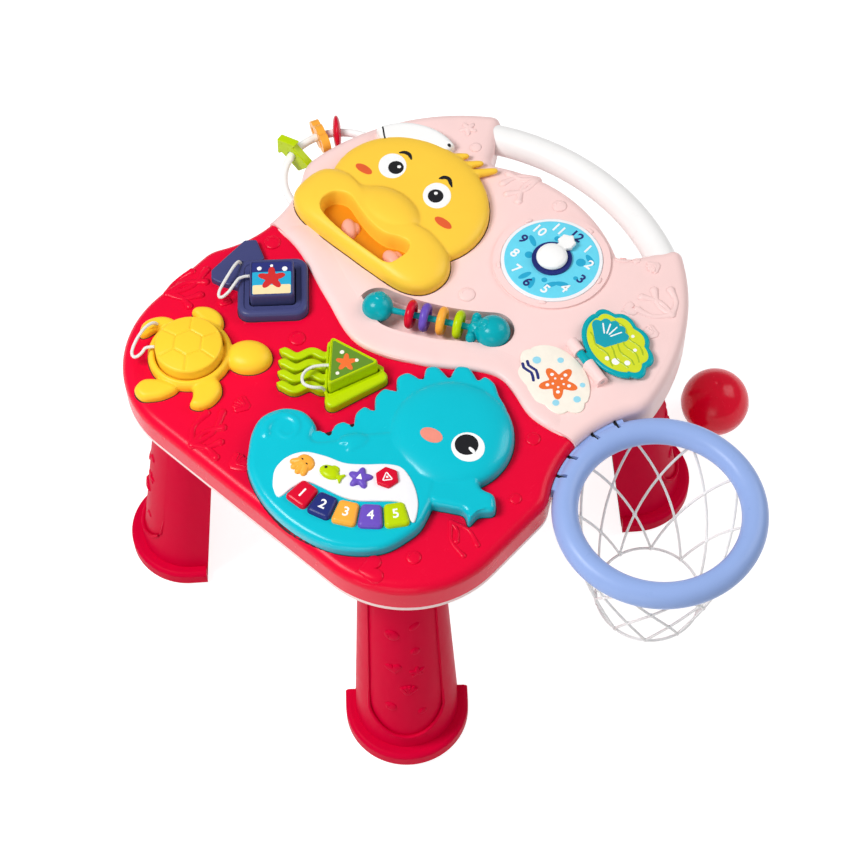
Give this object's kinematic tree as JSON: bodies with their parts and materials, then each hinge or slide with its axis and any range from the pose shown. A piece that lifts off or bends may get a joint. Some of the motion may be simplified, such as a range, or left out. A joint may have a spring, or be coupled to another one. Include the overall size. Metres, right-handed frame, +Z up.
{
  "type": "activity table",
  "caption": "Low toddler play table on leaning half-round legs, with a waisted two-colour deck of animal toys, keys, a clock, bead rod, flip page, carry handle and a side hoop with a net.",
  "frame": {"origin": "floor point under the middle of everything, hoop, ring and loose ball included", "axes": "+X towards the hoop, +Y towards the carry handle, +Z up"},
  "size_m": [0.5553, 0.487, 0.289],
  "materials": {
    "red_plastic": "satin moulded plastic",
    "pink_plastic": "satin moulded plastic",
    "tray_plastic": "fine matt moulded plastic",
    "white_plastic": "gloss moulded plastic",
    "yellow_plastic": "satin moulded plastic",
    "mouth_plastic": "satin moulded plastic",
    "teal_plastic": "satin moulded plastic",
    "turquoise_print": "printed gloss plastic",
    "navy_plastic": "gloss moulded plastic",
    "slate_plastic": "satin moulded plastic",
    "lime_plastic": "satin moulded plastic",
    "orange_plastic": "gloss moulded plastic",
    "purple_plastic": "gloss moulded plastic",
    "crimson_plastic": "gloss moulded plastic",
    "periwinkle_plastic": "satin moulded plastic",
    "cream_print": "printed picture",
    "net_cord": "knotted white cord",
    "tether_cord": "white cord",
    "pad_rubber": "soft matt rubber",
    "mat_rubber": "soft matt rubber",
    "steel": "plated steel",
    "cell_metal": "wrapped cell",
    "board_green": "coated circuit board",
    "speaker_black": "paper cone in a black frame"
  },
  "bodies": {
    "table": {"red_deck": "red_plastic", "pink_deck": "pink_plastic", "tray": "tray_plastic", "tray_screws": "steel", "leg_front_right": "red_plastic", "leg_front_left": "red_plastic", "leg_back_left": "red_plastic", "leg_back_right": "red_plastic", "foot_pads": "pad_rubber", "battery_cells": "cell_metal", "speaker": "speaker_black", "carry_handle": "white_plastic", "toy_ring": "white_plastic", "ring_saddle": "white_plastic", "duck_face": "yellow_plastic", "duck_tongue": "mouth_plastic", "clock_dial": "turquoise_print", "clock_hub": "navy_plastic", "bead_rod": "teal_plastic", "page_pin": "steel", "picture_disc": "cream_print", "turtle_base": "yellow_plastic", "square_base": "slate_plastic", "triangle_base": "lime_plastic", "square_cord": "tether_cord", "turtle_cord": "tether_cord", "triangle_cord": "tether_cord", "seahorse_cover": "teal_plastic", "key_panel": "white_plastic", "circuit_board": "board_green", "key_mat": "mat_rubber", "hoop": "periwinkle_plastic", "net": "net_cord"},
    "key_red": {"key_red": "crimson_plastic"},
    "key_navy": {"key_navy": "navy_plastic"},
    "key_orange": {"key_orange": "orange_plastic"},
    "key_purple": {"key_purple": "purple_plastic"},
    "key_lime": {"key_lime": "lime_plastic"},
    "button_octopus": {"button_octopus": "orange_plastic"},
    "button_fish": {"button_fish": "lime_plastic"},
    "button_star": {"button_star": "purple_plastic"},
    "button_hexagon": {"button_hexagon": "crimson_plastic"},
    "bead_red": {"bead_red": "crimson_plastic"},
    "bead_purple": {"bead_purple": "purple_plastic"},
    "bead_orange": {"bead_orange": "orange_plastic"},
    "bead_green": {"bead_green": "lime_plastic"},
    "turtle_shell": {"turtle_shell": "yellow_plastic"},
    "square_block": {"square_block": "slate_plastic"},
    "triangle_block": {"triangle_block": "lime_plastic"},
    "charm_arrow": {"charm_arrow": "lime_plastic"},
    "charm_loop": {"charm_loop": "orange_plastic"},
    "charm_disc": {"charm_disc": "crimson_plastic"},
    "clock_hand": {"clock_hand": "white_plastic"},
    "flip_page": {"flip_page": "teal_plastic"},
    "ball": {"ball": "crimson_plastic"},
    "battery_door": {"battery_door": "tray_plastic"},
    "power_switch": {"power_switch": "crimson_plastic"}
  },
  "joints": [
    {"name": "hand_turn", "type": "hinge", "parent": "table", "child": "clock_hand", "pos_m": [-0.014, 0.095, 0.2763], "axis": [0, 0, 1], "continuous": true},
    {"name": "bead_red_slide", "type": "slide", "parent": "table", "child": "bead_red", "axis": [0.8949, 0.4462, 0], "range_m": [-0.0135, 0.0023]},
    {"name": "bead_purple_slide", "type": "slide", "parent": "table", "child": "bead_purple", "axis": [0.8949, 0.4462, 0], "range_m": [-0.0023, 0.0033]},
    {"name": "bead_orange_slide", "type": "slide", "parent": "table", "child": "bead_orange", "axis": [0.8949, 0.4462, 0], "range_m": [-0.0033, 0.0033]},
    {"name": "bead_green_slide", "type": "slide", "parent": "table", "child": "bead_green", "axis": [0.8949, 0.4462, 0], "range_m": [-0.0033, 0.0042]},
    {"name": "page_flip", "type": "hinge", "parent": "table", "child": "flip_page", "pos_m": [0.0686, 0.037, 0.275], "axis": [0.9558, -0.294, 0], "range_deg": [0, 180]},
    {"name": "key_red_press", "type": "slide", "parent": "table", "child": "key_red", "axis": [0, 0, -1], "range_m": [0, 0.0022], "stiffness_N_per_m": 300, "springref_m": -0.002},
    {"name": "key_navy_press", "type": "slide", "parent": "table", "child": "key_navy", "axis": [0, 0, -1], "range_m": [0, 0.0022], "stiffness_N_per_m": 300, "springref_m": -0.002},
    {"name": "key_orange_press", "type": "slide", "parent": "table", "child": "key_orange", "axis": [0, 0, -1], "range_m": [0, 0.0022], "stiffness_N_per_m": 300, "springref_m": -0.002},
    {"name": "key_purple_press", "type": "slide", "parent": "table", "child": "key_purple", "axis": [0, 0, -1], "range_m": [0, 0.0022], "stiffness_N_per_m": 300, "springref_m": -0.002},
    {"name": "key_lime_press", "type": "slide", "parent": "table", "child": "key_lime", "axis": [0, 0, -1], "range_m": [0, 0.0022], "stiffness_N_per_m": 300, "springref_m": -0.002},
    {"name": "button_octopus_press", "type": "slide", "parent": "table", "child": "button_octopus", "axis": [0, 0, -1], "range_m": [0, 0.0022], "stiffness_N_per_m": 300, "springref_m": -0.002},
    {"name": "button_fish_press", "type": "slide", "parent": "table", "child": "button_fish", "axis": [0, 0, -1], "range_m": [0, 0.0022], "stiffness_N_per_m": 300, "springref_m": -0.002},
    {"name": "button_star_press", "type": "slide", "parent": "table", "child": "button_star", "axis": [0, 0, -1], "range_m": [0, 0.0022], "stiffness_N_per_m": 300, "springref_m": -0.002},
    {"name": "button_hexagon_press", "type": "slide", "parent": "table", "child": "button_hexagon", "axis": [0, 0, -1], "range_m": [0, 0.0022], "stiffness_N_per_m": 300, "springref_m": -0.002},
    {"name": "turtle_shell_lift", "type": "slide", "parent": "table", "child": "turtle_shell", "axis": [0, 0, 1], "range_m": [0, 0.022]},
    {"name": "square_block_lift", "type": "slide", "parent": "table", "child": "square_block", "axis": [0, 0, 1], "range_m": [0, 0.022]},
    {"name": "triangle_block_lift", "type": "slide", "parent": "table", "child": "triangle_block", "axis": [0, 0, 1], "range_m": [0, 0.022]},
    {"name": "charm_arrow_slip", "type": "hinge", "parent": "table", "child": "charm_arrow", "pos_m": [-0.213, 0.053, 0.257], "axis": [0, 0, 1], "range_deg": [-8, 8]},
    {"name": "charm_loop_slip", "type": "hinge", "parent": "table", "child": "charm_loop", "pos_m": [-0.213, 0.053, 0.257], "axis": [0, 0, 1], "range_deg": [-1, 9]},
    {"name": "charm_disc_slip", "type": "hinge", "parent": "table", "child": "charm_disc", "pos_m": [-0.213, 0.053, 0.257], "axis": [0, 0, 1], "range_deg": [-5, 1]},
    {"name": "ball_lift", "type": "slide", "parent": "table", "child": "ball", "axis": [0, 0, 1], "range_m": [0, 0.1]},
    {"name": "door_release", "type": "slide", "parent": "table", "child": "battery_door", "axis": [0, 0, -1], "range_m": [0, 0.03]},
    {"name": "switch_slide", "type": "slide", "parent": "table", "child": "power_switch", "axis": [0, 1, 0], "range_m": [0, 0.006]}
  ]
}
